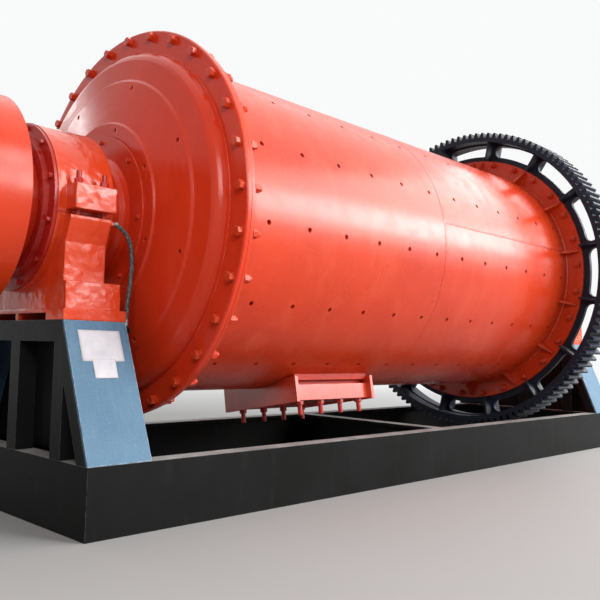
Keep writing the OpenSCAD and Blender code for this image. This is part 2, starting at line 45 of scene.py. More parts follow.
# Sizes that the dress shares with the solids, in metres. s is the distance along the mill axis
# from the joint of the feed head and the shell. Angles round the mill are in degrees, from the
# front upward.
MID_S = 1.5105
AXIS_H = 1.247
SHELL_R = 0.770
SHELL_LEN = 2.970
FLANGE_T = 0.026
HEAD_DEPTH = 0.147
WEB_T = 0.030
TRUNNION_FLANGE_PROUD = 0.008
FEED_BEARING_S = -0.395
DISCHARGE_BEARING_S = 3.988
BARREL_R = 0.349
BARREL_W = 0.240
COVER_T = 0.0143
EAR_TOP_Z = AXIS_H + 0.054
EAR_BOTTOM_Z = AXIS_H - 0.042
HOUSING_SHOULDER_Z = AXIS_H - 0.064
BASE_TOP = 0.260
BASE_HALF_W = 0.608
PEDESTAL_TOP_Z = AXIS_H - 0.465
PLATE_TOP_Y = 0.385
PLATE_FOOT_INSET = 0.003
DISCHARGE_JOINT = SHELL_LEN + WEB_T


def mill_point(s, radius, angle):
    """A point by its distance along the mill, its radius and its angle."""
    a = math.radians(angle)
    return Vector((s - MID_S, -radius * math.cos(a), AXIS_H + radius * math.sin(a)))


def outward(angle):
    """The direction away from the mill axis at an angle."""
    a = math.radians(angle)
    return Vector((0.0, -math.cos(a), math.sin(a)))


# Camera at the photograph's viewing angle: metres, radians and millimetres of lens
EYE = (-3.3719, -2.9643, 0.6925)
YAW, PITCH, ROLL = 0.774812, 0.0660523, 0.0246431
LENS, SENSOR = 44.563, 36.0
CLIP_END = 200.0


def make_camera():
    ahead = Vector((math.cos(PITCH) * math.cos(YAW), math.cos(PITCH) * math.sin(YAW),
                    math.sin(PITCH)))
    level = Vector((math.sin(YAW), -math.cos(YAW), 0.0))
    upright = level.cross(ahead)
    right = level * math.cos(ROLL) + upright * math.sin(ROLL)
    up = upright * math.cos(ROLL) - level * math.sin(ROLL)
    data = bpy.data.cameras.new("camera")
    data.lens = LENS
    data.sensor_width = SENSOR
    data.clip_end = CLIP_END
    cam = bpy.data.objects.new("camera", data)
    turn = Matrix((right, up, -ahead)).transposed().to_4x4()
    cam.matrix_world = Matrix.Translation(Vector(EYE)) @ turn
    scene.collection.objects.link(cam)
    scene.camera = cam


# Materials
BEVEL_SAMPLES = 4
PLAIN_GLOSS = 0.5


class Graph:
    """Short names for the nodes that the materials share.

    Noise scales are per metre of the object's coordinates. Bump distances and edge radii are in
    metres. A colour is a tuple of linear red, green and blue.
    """

    def __init__(self, name):
        self.material = bpy.data.materials.new(name)
        self.material.use_nodes = True
        self.nodes = self.material.node_tree.nodes
        self.links = self.material.node_tree.links
        self.nodes.clear()
        self.out = self.nodes.new("ShaderNodeOutputMaterial")
        self.shader = self.nodes.new("ShaderNodeBsdfPrincipled")
        self.links.new(self.shader.outputs["BSDF"], self.out.inputs["Surface"])
        self.coords = self.nodes.new("ShaderNodeTexCoord")

    def put(self, source, target):
        self.links.new(source, target)

    def stretched(self, scale):
        """The object's coordinates, scaled along x, y and z."""
        node = self.nodes.new("ShaderNodeMapping")
        node.inputs["Scale"].default_value = scale
        self.put(self.coords.outputs["Object"], node.inputs["Vector"])
        return node.outputs["Vector"]

    def noise(self, scale, detail, rough, vector=None, distortion=0.0):
        node = self.nodes.new("ShaderNodeTexNoise")
        node.inputs["Scale"].default_value = scale
        node.inputs["Detail"].default_value = detail
        node.inputs["Roughness"].default_value = rough
        node.inputs["Distortion"].default_value = distortion
        self.put(vector or self.coords.outputs["Object"], node.inputs["Vector"])
        return node.outputs["Fac"]

    def ramp(self, value, low, high, to_low=0.0, to_high=1.0):
        """The value's range from low to high, spread over to_low to to_high and clamped there."""
        node = self.nodes.new("ShaderNodeMapRange")
        node.clamp = True
        node.inputs["From Min"].default_value = low
        node.inputs["From Max"].default_value = high
        node.inputs["To Min"].default_value = to_low
        node.inputs["To Max"].default_value = to_high
        self.put(value, node.inputs["Value"])
        return node.outputs["Result"]

    def patches(self, scale, detail, rough, low, high, to_low=0.0, to_high=1.0):
        """A noise through a ramp."""
        return self.ramp(self.noise(scale, detail, rough), low, high, to_low, to_high)

    def math(self, kind, a, b):
        node = self.nodes.new("ShaderNodeMath")
        node.operation = kind
        for socket, value in zip(node.inputs, (a, b)):
            if isinstance(value, (int, float)):
                socket.default_value = value
            else:
                self.put(value, socket)
        return node.outputs["Value"]

    def mix(self, fac, a, b):
        """Colour a where fac is 0 and colour b where it is 1."""
        node = self.nodes.new("ShaderNodeMix")
        node.data_type = "RGBA"
        for socket, value in zip((node.inputs[0], node.inputs[6], node.inputs[7]), (fac, a, b)):
            if isinstance(value, tuple):
                socket.default_value = (*value, 1.0)
            else:
                self.put(value, socket)
        return node.outputs[2]

    def over(self, tone, mask, share, top):
        """The tone with the top colour over it where the mask is 1, at a share of its strength."""
        return self.mix(self.math("MULTIPLY", mask, share), tone, top)

    def bump(self, height, distance, normal=None):
        node = self.nodes.new("ShaderNodeBump")
        node.inputs["Distance"].default_value = distance
        node.inputs["Strength"].default_value = 1.0
        self.put(height, node.inputs["Height"])
        if normal:
            self.put(normal, node.inputs["Normal"])
        return node.outputs["Normal"]

    def soft_edges(self, radius):
        node = self.nodes.new("ShaderNodeBevel")
        node.samples = BEVEL_SAMPLES
        node.inputs["Radius"].default_value = radius
        return node.outputs["Normal"]

    def edge_mask(self, radius, low=0.03, high=0.25):
        """1 along edges, 0 on flats."""
        geometry = self.nodes.new("ShaderNodeNewGeometry")
        node = self.nodes.new("ShaderNodeVectorMath")
        node.operation = "DOT_PRODUCT"
        self.put(self.soft_edges(radius), node.inputs[0])
        self.put(geometry.outputs["Normal"], node.inputs[1])
        return self.ramp(self.math("SUBTRACT", 1.0, node.outputs["Value"]), low, high)

    def around_axis(self, along, across, turn):
        """Coordinates that follow the drum: length, radius and angle, each at its own scale."""
        split = self.nodes.new("ShaderNodeSeparateXYZ")
        join = self.nodes.new("ShaderNodeCombineXYZ")
        self.put(self.coords.outputs["Object"], split.inputs[0])
        depth = split.outputs["Y"]
        height = self.math("SUBTRACT", split.outputs["Z"], AXIS_H)
        squares = self.math("ADD", self.math("POWER", depth, 2.0), self.math("POWER", height, 2.0))
        radius = self.math("SQRT", squares, 0.0)
        angle = self.math("ARCTAN2", height, depth)
        self.put(self.math("MULTIPLY", split.outputs["X"], along), join.inputs["X"])
        self.put(self.math("MULTIPLY", radius, across), join.inputs["Y"])
        self.put(self.math("MULTIPLY", angle, turn), join.inputs["Z"])
        return join.outputs["Vector"]

    def facing_up(self, low, high):
        """1 where the surface looks up, 0 where its slope is past low."""
        node = self.nodes.new("ShaderNodeSeparateXYZ")
        self.put(self.coords.outputs["Normal"], node.inputs[0])
        return self.ramp(node.outputs["Z"], low, high)

    def finish(self, color, rough, normal, gloss=PLAIN_GLOSS):
        self.put(color, self.shader.inputs["Base Color"])
        self.put(rough, self.shader.inputs["Roughness"])
        self.put(normal, self.shader.inputs["Normal"])
        self.shader.inputs["Specular IOR Level"].default_value = gloss
        return self.material


def gloss_paint(name, color, shade, light, lumps=0.0, wave=0.0012, edge=0.003, gloss=0.34,
                wear_and_highlight=0.35, brushed=0.0, drips=0.35, rough_low=0.20, rough_high=0.34):
    """Brushed and sprayed enamel: cloudy tone, faint runs, orange peel, chipped edges; where the edge
    share is set strong with a pale colour, the chips also paint edge highlights.
    """
    g = Graph(name)
    tone = g.mix(g.patches(1.7, 5.0, 0.6, 0.36, 0.66), color, shade)
    runs = g.noise(2.6, 3.0, 0.6, vector=g.stretched((4.0, 4.0, 0.5)), distortion=0.4)
    tone = g.over(tone, g.ramp(runs, 0.52, 0.78), drips, light)
    tone = g.over(tone, g.patches(24.0, 3.0, 0.7, 0.60, 0.74), 0.22, shade)
    # Chipped edges in the lighter colour: wear, and on the heads also painted highlights along the
    # edges.
    chips_and_edge_highlights = g.math("MULTIPLY", g.edge_mask(edge), g.patches(38.0, 4.0, 0.7, 0.46, 0.60))
    tone = g.over(tone, chips_and_edge_highlights, wear_and_highlight, light)
    rough = g.patches(9.0, 4.0, 0.65, 0.3, 0.75, rough_low, rough_high)
    normal = g.bump(g.noise(3.2, 2.0, 0.5), wave, g.soft_edges(edge))
    if lumps:
        normal = g.bump(g.noise(8.0, 2.0, 0.5), lumps * 5, normal)
        normal = g.bump(g.noise(30.0, 3.0, 0.5), lumps, normal)
    if brushed:
        strokes = g.noise(1.0, 3.0, 0.6, vector=g.around_axis(48.0, 48.0, 3.5))
        normal = g.bump(strokes, brushed, normal)
    peel = g.bump(g.noise(320.0, 1.0, 0.5), 0.00012, normal)
    return g.finish(tone, rough, peel, gloss)


def black_paint(name, color, shade, worn_color, rough_low=0.32, rough_high=0.55, dust_and_sheen=0.5,
                gloss=0.12):
    """Dark enamel, dusty grey on what faces up, and rubbed edges; where set strong, the grey on top
    also paints a sheen.
    """
    edge = 0.003
    g = Graph(name)
    fine = g.noise(60.0, 4.0, 0.7)
    tone = g.mix(g.patches(3.0, 5.0, 0.6, 0.35, 0.7), color, shade)
    runs = g.noise(5.0, 3.0, 0.6, vector=g.stretched((3.0, 3.0, 0.4)))
    tone = g.over(tone, g.ramp(runs, 0.58, 0.8), 0.02, worn_color)
    # What faces up turns dusty grey; where the share is set strong, this also paints the sheen of the
    # top faces.
    dust_and_sheen_mask = g.math("MULTIPLY", g.facing_up(0.7, 0.98),
                     g.patches(7.0, 5.0, 0.7, 0.25, 0.65, 0.35, 1.0))
    tone = g.over(tone, dust_and_sheen_mask, dust_and_sheen, worn_color)
    rubbed = g.math("MULTIPLY", g.edge_mask(edge), g.patches(26.0, 4.0, 0.7, 0.36, 0.60))
    tone = g.over(tone, rubbed, 0.45, worn_color)
    rough = g.math("ADD", g.ramp(fine, 0.3, 0.7, rough_low, rough_high),
                   g.math("MULTIPLY", dust_and_sheen_mask, 0.2))
    normal = g.bump(g.noise(4.0, 2.0, 0.5), 0.001, g.soft_edges(edge))
    return g.finish(tone, rough, g.bump(fine, 0.0002, normal), gloss)


def plate_paint():
    """Blue-grey satin enamel with pale scuffs along the edges and faint vertical brush marks."""
    blue, deep, pale = (0.104, 0.192, 0.278), (0.078, 0.154, 0.236), (0.300, 0.400, 0.490)
    scuffed = (0.62, 0.68, 0.74)
    g = Graph("side_plate_blue")
    tone = g.mix(g.patches(4.0, 5.0, 0.6, 0.35, 0.7), blue, deep)
    brush = g.noise(9.0, 4.0, 0.7, vector=g.stretched((9.0, 1.0, 0.7)))
    tone = g.over(tone, g.ramp(brush, 0.5, 0.8), 0.14, pale)
    tone = g.over(tone, g.patches(170.0, 3.0, 0.8, 0.54, 0.68), 0.24, pale)
    scuffs = g.math("MULTIPLY", g.edge_mask(0.006, 0.01, 0.15),
                    g.patches(30.0, 4.0, 0.7, 0.4, 0.6))
    tone = g.over(tone, scuffs, 0.8, scuffed)
    rough = g.patches(30.0, 4.0, 0.6, 0.3, 0.75, 0.36, 0.55)
    normal = g.bump(g.noise(90.0, 3.0, 0.6), 0.0005, g.soft_edges(0.003))
    return g.finish(tone, rough, normal, 0.08)


def bare_metal(name, color, shade, rough_low, rough_high):
    """Unpainted metal with a faint cloudy tone and fine scratches in its gloss."""
    g = Graph(name)
    tone = g.mix(g.patches(20.0, 4.0, 0.6, 0.35, 0.7), color, shade)
    rough = g.patches(70.0, 3.0, 0.6, 0.3, 0.7, rough_low, rough_high)
    g.shader.inputs["Metallic"].default_value = 1.0
    normal = g.bump(g.noise(200.0, 2.0, 0.5), 0.00008, g.soft_edges(0.001))
    return g.finish(tone, rough, normal)


def braid_rubber():
    """Black rubber with the pale flecks of a scuffed braid."""
    g = Graph("hose_rubber")
    tone = g.mix(g.patches(150.0, 3.0, 0.7, 0.46, 0.62), (0.018, 0.018, 0.020), (0.17, 0.17, 0.165))
    rough = g.patches(90.0, 3.0, 0.6, 0.3, 0.7, 0.36, 0.56)
    return g.finish(tone, rough, g.bump(g.noise(500.0, 2.0, 0.5), 0.0001))


def plain_paper():
    """Matt paper, a little blotched and creased."""
    g = Graph("paper")
    tone = g.mix(g.patches(14.0, 4.0, 0.7, 0.35, 0.7), (0.60, 0.59, 0.61), (0.48, 0.47, 0.51))
    rough = g.patches(40.0, 2.0, 0.5, 0.3, 0.7, 0.75, 0.9)
    return g.finish(tone, rough, g.bump(g.noise(26.0, 3.0, 0.6), 0.0012))


RED = (0.58, 0.042, 0.008)
RED_SHADE = (0.50, 0.030, 0.006)
RED_LIGHT = (0.70, 0.11, 0.045)
CAST_RED = (0.70, 0.054, 0.009)

MATERIALS = {
    "mill_red": gloss_paint("mill_red", RED, RED_SHADE, RED_LIGHT),
    "cast_red": gloss_paint(
        "cast_red", CAST_RED, RED, RED_LIGHT,
        lumps=0.0022, wave=0.002, edge=0.008, rough_low=0.14, rough_high=0.28),
    "cap_red": gloss_paint(
        "cap_red", CAST_RED, RED, RED_LIGHT,
        lumps=0.0020, edge=0.008, gloss=0.45, rough_low=0.12, rough_high=0.24),
    "cover_red": gloss_paint(
        "cover_red", RED, RED_SHADE, RED_LIGHT,
        wave=0.0004, gloss=1.0, rough_low=0.12, rough_high=0.24),
    # The frame's darker red than the drum is painted shade, where it hangs under the drum.
    "frame_red": gloss_paint(
        "frame_red", (0.42, 0.026, 0.010), (0.34, 0.018, 0.008), RED, gloss=0.10),
    "seam_red": gloss_paint(
        "seam_red", (0.40, 0.030, 0.010), (0.34, 0.022, 0.008), RED, gloss=0.25),
    # The heads' pale third colour and large edge share paint highlights along the step edges, besides
    # wear.
    "head_red": gloss_paint(
        "head_red", (0.66, 0.040, 0.010), (0.58, 0.030, 0.008), (0.78, 0.22, 0.15),
        edge=0.007, gloss=0.26, wear_and_highlight=0.6, brushed=0.0013, drips=0.05,
        rough_low=0.16, rough_high=0.28),
    "mill_dark_red": gloss_paint(
        "mill_dark_red", (0.42, 0.020, 0.012), (0.34, 0.016, 0.011), (0.60, 0.06, 0.04),
        edge=0.004),
    "gear_black": black_paint(
        "gear_black", (0.014, 0.017, 0.028), (0.022, 0.026, 0.040), (0.22, 0.24, 0.29),
        dust_and_sheen=0.45),
    # On the base the grey on what faces up is set strong: besides dust, it paints the sheen along the
    # top faces.
    "base_black": black_paint(
        "base_black", (0.009, 0.0096, 0.009), (0.013, 0.0136, 0.0136), (0.42, 0.42, 0.41),
        rough_low=0.28, rough_high=0.44, dust_and_sheen=0.8, gloss=0.05),
    "side_plate_blue": plate_paint(),
    "bush_bronze": bare_metal("bush_bronze", (0.42, 0.27, 0.10), (0.30, 0.20, 0.08), 0.3, 0.5),
    "steel": bare_metal("steel", (0.36, 0.35, 0.34), (0.22, 0.21, 0.20), 0.35, 0.55),
    "hose_rubber": braid_rubber(),
    "paper": plain_paper(),
}

# Nodes whose finish isn't the one that their material slot is named after
OWN_FINISH = {
    "feed_head": "head_red",
    "discharge_head": "head_red",
    "feed_trunnion": "head_red",
    "discharge_trunnion": "head_red",
    "feed_bearing_housing": "cast_red",
    "discharge_bearing_housing": "cast_red",
    "feed_bearing_cap": "cap_red",
    "discharge_bearing_cap": "cap_red",
    "manhole_frame": "frame_red",
    "manhole_cover": "cover_red",
}


def dress_nodes():
    """Gives every solid its finish."""
    slots = {row["node"]: row["material_slot"] for row in frame["record"]["subparts"]}
    for name, obj in frame["nodes"].items():
        obj.data.materials.clear()
        obj.data.materials.append(MATERIALS[OWN_FINISH.get(name, slots[name])])


# Mesh helpers
def skin(bm, rings):
    """Closes rings of as many vertices each into one solid, with a cap at both ends."""
    sides = len(rings[0])
    for low, high in zip(rings, rings[1:]):
        for k in range(sides):
            bm.faces.new((low[k], low[(k + 1) % sides], high[(k + 1) % sides], high[k]))
    bm.faces.new(list(reversed(rings[0])))
    bm.faces.new(rings[-1])


def lathe(bm, matrix, profile, sides):
    """Adds a turned solid from (radius, height) points."""
    rings = []
    for radius, height in profile:
        ring = []
        for k in range(sides):
            a = 2 * math.pi * k / sides
            place = Vector((radius * math.cos(a), radius * math.sin(a), height))
            ring.append(bm.verts.new(matrix @ place))
        rings.append(ring)
    skin(bm, rings)


def tube(bm, line, sides, radius_at):
    """Adds a tube swept along a line, with a radius for each step and side."""
    rings = []
    for i, p in enumerate(line):
        ahead = (line[min(i + 1, len(line) - 1)] - line[max(i - 1, 0)]).normalized()
        side = ahead.cross(Vector((0, 1, 0))).normalized()
        up = side.cross(ahead)
        ring = []
        for k in range(sides):
            a = 2 * math.pi * k / sides
            reach = (side * math.cos(a) + up * math.sin(a)) * radius_at(i, k)
            ring.append(bm.verts.new(p + reach))
        rings.append(ring)
    skin(bm, rings)


def standing(point, direction, spin=0.0):
    """The matrix that stands a turned solid on a point along a direction."""
    turn = direction.to_track_quat("Z", "Y").to_matrix().to_4x4()
    return Matrix.Translation(point) @ turn @ Matrix.Rotation(spin, 4, "Z")


def new_piece(name, bm, material, body, sharp_angle=30.0):
    """Turns the mesh into a piece of the part that rides on a body."""
    bmesh.ops.recalc_face_normals(bm, faces=bm.faces)
    mesh = bpy.data.meshes.new(name)
    bm.to_mesh(mesh)
    bm.free()
    mesh.polygons.foreach_set("use_smooth", [True] * len(mesh.polygons))
    mesh.set_sharp_from_angle(angle=math.radians(sharp_angle))
    mesh.materials.append(MATERIALS[material])
    obj = bpy.data.objects.new(name, mesh)
    scene.collection.objects.link(obj)
    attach(obj, body)
    return obj


# Bolts. The shape of a bolt is in shares of its width over flats.
WASHER_R, WASHER_T = 0.62, 0.09
HEAD_TOP, NUT_TOP = 0.72, 0.88
CHAMFER = 0.07
WASHER_SIDES, STUD_SIDES = 20, 16
SPIN_STEP = 2.399

# Flange, trunnion and cover bolts: circle and size in metres, first angle in degrees
FLANGE_BOLTS = 30
FLANGE_BOLT_R = 0.847
FLANGE_BOLT_FLATS = 0.035
FLANGE_BOLT_REACH = 0.046
TRUNNION_BOLTS = dict(body="mill", radius=0.345, flats=0.017, first=41, count=8,
                      material="head_red", slot="mill_red")
COVER_BOLTS = dict(body="base", radius=BARREL_R - 0.024, flats=0.020, first=15, count=12,
                   material="mill_dark_red", slot="mill_dark_red")

# Studs of the bearing caps
STUD_Y = 0.378
STUD_ALONG = 0.055
STUD_R = 0.0095
STUD_FLATS = 0.030
STUD_REACH = 0.058


def washer(bm, matrix, flats):
    lathe(bm, matrix, [(flats * WASHER_R, 0.0), (flats * WASHER_R, flats * WASHER_T)], WASHER_SIDES)


def hexagon(bm, matrix, flats, low, high):
    r = flats / math.sqrt(3)
    chamfer = flats * CHAMFER
    lathe(bm, matrix, [(r, low), (r, high - chamfer * 0.6), (r - chamfer, high)], 6)


def bolt_head(bm, matrix, flats):
    washer(bm, matrix, flats)
    hexagon(bm, matrix, flats, flats * WASHER_T, flats * HEAD_TOP)


def nut_and_end(bm, matrix, flats, reach):
    """A nut on its washer, with the bolt's end coming through to reach."""
    washer(bm, matrix, flats)
    hexagon(bm, matrix, flats, flats * WASHER_T, flats * NUT_TOP)
    r = flats / 3
    end = [(r, flats * 0.8), (r, reach - r * 0.25), (r * 0.75, reach)]
    lathe(bm, matrix, end, STUD_SIDES)


def spins():
    """An endless row of spin angles that looks uneven and is the same each run."""
    k = 0
    while True:
        k += 1
        yield (k * SPIN_STEP) % (math.pi / 3)


def flange_bolts(name, head_s, head_way, nut_s, first):
    """Bolts round a flange joint: heads on one side, nuts and bolt ends on the other."""
    bm = bmesh.new()
    spin = spins()
    for k in range(FLANGE_BOLTS):
        angle = first + k * 360 / FLANGE_BOLTS
        turn = next(spin)
        head = standing(mill_point(head_s, FLANGE_BOLT_R, angle), Vector((head_way, 0, 0)), turn)
        bolt_head(bm, head, FLANGE_BOLT_FLATS)
        nut = standing(mill_point(nut_s, FLANGE_BOLT_R, angle), Vector((-head_way, 0, 0)), turn)
        nut_and_end(bm, nut, FLANGE_BOLT_FLATS, FLANGE_BOLT_REACH)
    new_piece(name, bm, "mill_red", "mill")


def ring_of_heads(name, s, way, body, radius, flats, first, count, material, slot):
    """Bolt heads on a circle round the mill axis, facing along it."""
    bm = bmesh.new()
    spin = spins()
    for k in range(count):
        point = mill_point(s, radius, first + k * 360 / count)
        bolt_head(bm, standing(point, Vector((way, 0, 0)), next(spin)), flats)
    new_piece(name, bm, material, body)


def ear_studs(name, bearing_s):
    """Two studs through each ear of a bearing cap, with nuts on top and bare below the ear."""
    bm = bmesh.new()
    spin = spins()
    for side in (-1, 1):
        for along in (-STUD_ALONG, STUD_ALONG):
            x = bearing_s + along - MID_S
            top = Vector((x, side * STUD_Y, EAR_TOP_Z))
            nut_and_end(bm, standing(top, Vector((0, 0, 1)), next(spin)), STUD_FLATS, STUD_REACH)
            foot = Vector((x, side * STUD_Y, HOUSING_SHOULDER_Z))
            gap = EAR_BOTTOM_Z - HOUSING_SHOULDER_Z
            lathe(bm, Matrix.Translation(foot), [(STUD_R, 0.0), (STUD_R, gap)], STUD_SIDES)
    new_piece(name, bm, "mill_dark_red", "base")


def all_bolts():
    flange_bolts("flange_bolts_feed", -FLANGE_T, -1, FLANGE_T, 4.3)
    flange_bolts("flange_bolts_discharge", DISCHARGE_JOINT + FLANGE_T, 1, SHELL_LEN - FLANGE_T, 3.5)
    seat = HEAD_DEPTH + TRUNNION_FLANGE_PROUD
    ring_of_heads("trunnion_bolts_feed", -seat, -1, **TRUNNION_BOLTS)
    ring_of_heads("trunnion_bolts_discharge", DISCHARGE_JOINT + seat, 1, **TRUNNION_BOLTS)
    cover = BARREL_W / 2 + COVER_T
    ring_of_heads("cover_bolts_feed", FEED_BEARING_S - cover, -1, **COVER_BOLTS)
    ring_of_heads("cover_bolts_discharge", DISCHARGE_BEARING_S + cover, 1, **COVER_BOLTS)
    ear_studs("ear_studs_feed", FEED_BEARING_S)
    ear_studs("ear_studs_discharge", DISCHARGE_BEARING_S)


# Weld beads: half width and height of each kind, in metres
SEAM_BEAD = (0.009, 0.0014)
FILLET_BEAD = (0.010, 0.006)
LENGTHWISE_BEAD = (0.005, 0.0014)
BEAD_ARCH = 6
BEAD_RIPPLE = 0.12
BEAD_UNEVEN, BEAD_UNEVEN_SCALE = 0.25, 40
BEAD_SUNK = 0.0006
FILLET_OFFSET = 0.003
SEAM_STEPS = 540
LENGTHWISE_STEP = 0.008
SEAM_CLEARANCE = 0.014
LENGTHWISE_ANGLES = (190.5, 10.5)


def bead(bm, points, normals, half_width, height, closed):
    """Adds a weld bead along points on a surface whose normals are given."""
    count = len(points)
    arch = [(math.cos(math.pi * k / BEAD_ARCH), math.sin(math.pi * k / BEAD_ARCH))
            for k in range(BEAD_ARCH + 1)]
    rings = []
    for i, (p, n) in enumerate(zip(points, normals)):
        ahead = points[(i + 1) % count] if closed or i + 1 < count else p
        behind = points[i - 1] if closed or i > 0 else p
        side = (ahead - behind).normalized().cross(n).normalized()
        swell = (1 + BEAD_RIPPLE * math.sin(2 * math.pi * i / 3)
                 + BEAD_UNEVEN * noise.noise(p * BEAD_UNEVEN_SCALE))
        rings.append([bm.verts.new(p + side * (half_width * c * swell)
                                   + n * (height * h * swell - BEAD_SUNK)) for c, h in arch])
    pairs = list(zip(rings, rings[1:])) + ([(rings[-1], rings[0])] if closed else [])
    for a, b in pairs:
        for k in range(BEAD_ARCH):
            bm.faces.new((a[k], a[k + 1], b[k + 1], b[k]))
        bm.faces.new((a[0], b[0], b[-1], a[-1]))
    if not closed:
        bm.faces.new(list(reversed(rings[0])))
        bm.faces.new(rings[-1])


def shell_welds():
    """The seam between the two courses, those at the flanges, and a lengthwise one in each."""
    seam = SHELL_LEN / 2
    turns = [360 * k / SEAM_STEPS for k in range(SEAM_STEPS)]
    bm = bmesh.new()
    bead(bm, [mill_point(seam, SHELL_R, a) for a in turns], [outward(a) for a in turns],
         *SEAM_BEAD, True)
    for s, way in ((FLANGE_T, 1), (SHELL_LEN - FLANGE_T, -1)):
        corner = [mill_point(s + way * FILLET_OFFSET, SHELL_R + FILLET_OFFSET, a) for a in turns]
        lean = [(outward(a) + Vector((way, 0, 0))).normalized() for a in turns]
        bead(bm, corner, lean, *FILLET_BEAD, True)
    new_piece("shell_welds", bm, "mill_red", "mill", 60)

    feed_angle, discharge_angle = LENGTHWISE_ANGLES
    bm = bmesh.new()
    for first, last, angle in ((seam + SEAM_CLEARANCE, SHELL_LEN - FLANGE_T, discharge_angle),
                               (FLANGE_T, seam - SEAM_CLEARANCE, feed_angle)):
        count = int((last - first) / LENGTHWISE_STEP)
        places = [first + (last - first) * k / count for k in range(count + 1)]
        bead(bm, [mill_point(s, SHELL_R, angle) for s in places], [outward(angle)] * len(places),
             *LENGTHWISE_BEAD, False)
    new_piece("lengthwise_welds", bm, "seam_red", "mill", 60)


# The hose's route as in the solids, in millimetres: s along the mill, y, and height over the axis
HOSE_ROUTE = [
    (-297, -378, -79), (-284, -378, -79), (-260, -378, -88), (-238, -378, -104), (-221, -378, -126),
    (-210, -378, -152), (-204, -378, -178), (-200, -377, -205), (-198, -376, -232), (-197, -374, -260),
    (-197, -371, -287), (-198, -369, -314), (-200, -366, -342), (-201, -364, -369), (-203, -362, -397),
    (-204, -361, -424), (-205, -360, -452), (-205, -360, -479),
]
HOSE_D = 0.018
HOSE_STEP = 0.0022
HOSE_SIDES = 24
SPLINE_STEPS = 24
BRAID_STRANDS, BRAID_PITCH_STEPS = 6, 7
BRAID_DEPTH = 0.0007

# A crimped end's radius and distance from the hose's end, in metres
CRIMP = [(0.0086, 0.0), (0.0106, 0.002), (0.0106, 0.010), (0.0098, 0.012), (0.0098, 0.014),
         (0.0106, 0.016), (0.0106, 0.024), (0.0090, 0.027)]
CRIMP_SIDES = 24


def hose_points():
    """The hose's route in the frame's own metres."""
    return [Vector((s / 1000 - MID_S, y / 1000, AXIS_H + z / 1000)) for s, y, z in HOSE_ROUTE]


def smooth_line(points, step):
    """A smooth line through the points with a point about every step, and its length."""
    fine = []
    for i in range(len(points) - 1):
        before = points[max(i - 1, 0)]
        after = points[min(i + 2, len(points) - 1)]
        a, b = points[i], points[i + 1]
        ta, tb = (b - before) / 2, (after - a) / 2
        for k in range(SPLINE_STEPS):
            u = k / SPLINE_STEPS
            fine.append(a * (2 * u**3 - 3 * u**2 + 1) + ta * (u**3 - 2 * u**2 + u)
                        + b * (3 * u**2 - 2 * u**3) + tb * (u**3 - u**2))
    fine.append(points[-1])
    total = sum((q - p).length for p, q in zip(fine, fine[1:]))
    count = round(total / step)
    line, walked, k = [fine[0]], 0.0, 0
    for i in range(1, count):
        goal = total * i / count
        while walked + (fine[k + 1] - fine[k]).length < goal:
            walked += (fine[k + 1] - fine[k]).length
            k += 1
        span = (fine[k + 1] - fine[k]).length
        line.append(fine[k].lerp(fine[k + 1], (goal - walked) / span))
    line.append(fine[-1])
    return line, total


def lubrication_hose():
    """The braided hose at the feed bearing, with its two crimped ends."""
    line, length = smooth_line(hose_points(), HOSE_STEP)

    def braid(i, k):
        one = math.sin(2 * math.pi * (k / HOSE_SIDES * BRAID_STRANDS + i / BRAID_PITCH_STEPS))
        other = math.sin(2 * math.pi * (k / HOSE_SIDES * BRAID_STRANDS - i / BRAID_PITCH_STEPS))
        return HOSE_D / 2 - BRAID_DEPTH * (1 - max(one, other)) / 2

    bm = bmesh.new()
    tube(bm, line, HOSE_SIDES, braid)
    hose = new_piece("braided_hose", bm, "hose_rubber", "base", 180)
    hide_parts("lube_hose")
    ends = bmesh.new()
    lathe(ends, standing(line[0], (line[3] - line[0]).normalized()), CRIMP, CRIMP_SIDES)
    lathe(ends, standing(line[-1], (line[-4] - line[-1]).normalized()), CRIMP, CRIMP_SIDES)
    crimps = new_piece("hose_crimps", ends, "steel", "base")


# The bare sheets on the front plate, in metres: from and to along the mill, from and to down the
# plate, and how far each stands off it
SHEETS = ((-0.442, -0.261, 0.040, 0.168, 0.0006), (-0.401, -0.303, 0.160, 0.236, 0.0012))
SHEET_COLUMNS, SHEET_ROWS = 14, 10
SHEET_T = 0.0005
WRINKLE_DEPTH, WRINKLE_SCALE = 0.0016, 22


def paper_sheets():
    """Two bare sheets glued to the front plate of the feed pedestal."""
    top = Vector((0, -PLATE_TOP_Y, PEDESTAL_TOP_Z))
    foot = Vector((0, -BASE_HALF_W + PLATE_FOOT_INSET, BASE_TOP))
    down = (foot - top).normalized()
    out = down.cross(Vector((1, 0, 0))).normalized()
    bm = bmesh.new()
    for s0, s1, d0, d1, lift in SHEETS:
        grid = []
        for j in range(SHEET_ROWS + 1):
            row = []
            for i in range(SHEET_COLUMNS + 1):
                s = s0 + (s1 - s0) * i / SHEET_COLUMNS
                d = d0 + (d1 - d0) * j / SHEET_ROWS
                place = top + Vector((s - MID_S, 0, 0)) + down * d
                crease = noise.noise(Vector((s * WRINKLE_SCALE, d * WRINKLE_SCALE, s0 * 9)))
                row.append(bm.verts.new(place + out * (lift + WRINKLE_DEPTH * abs(crease))))
            grid.append(row)
        for j in range(SHEET_ROWS):
            for i in range(SHEET_COLUMNS):
                bm.faces.new((grid[j][i], grid[j][i + 1], grid[j + 1][i + 1], grid[j + 1][i]))
    sheets = new_piece("paper_sheets", bm, "paper", "base", 180)
    thick = sheets.modifiers.new("thickness", "SOLIDIFY")
    thick.thickness = SHEET_T
    thick.offset = 1.0


# Studio. The floor fades into the backdrop between two distances from the middle, in metres.
PALE = (0.95, 0.955, 0.955, 1.0)
FLOOR_GREY = (0.33, 0.327, 0.321, 1.0)
FLOOR_R = 400
FLOOR_STEP = 5
FADE_FROM, FADE_TO = 3.5, 11.0
SKY = (0.95, 0.97, 1.0, 1.0)
SKY_STRENGTH = 0.22

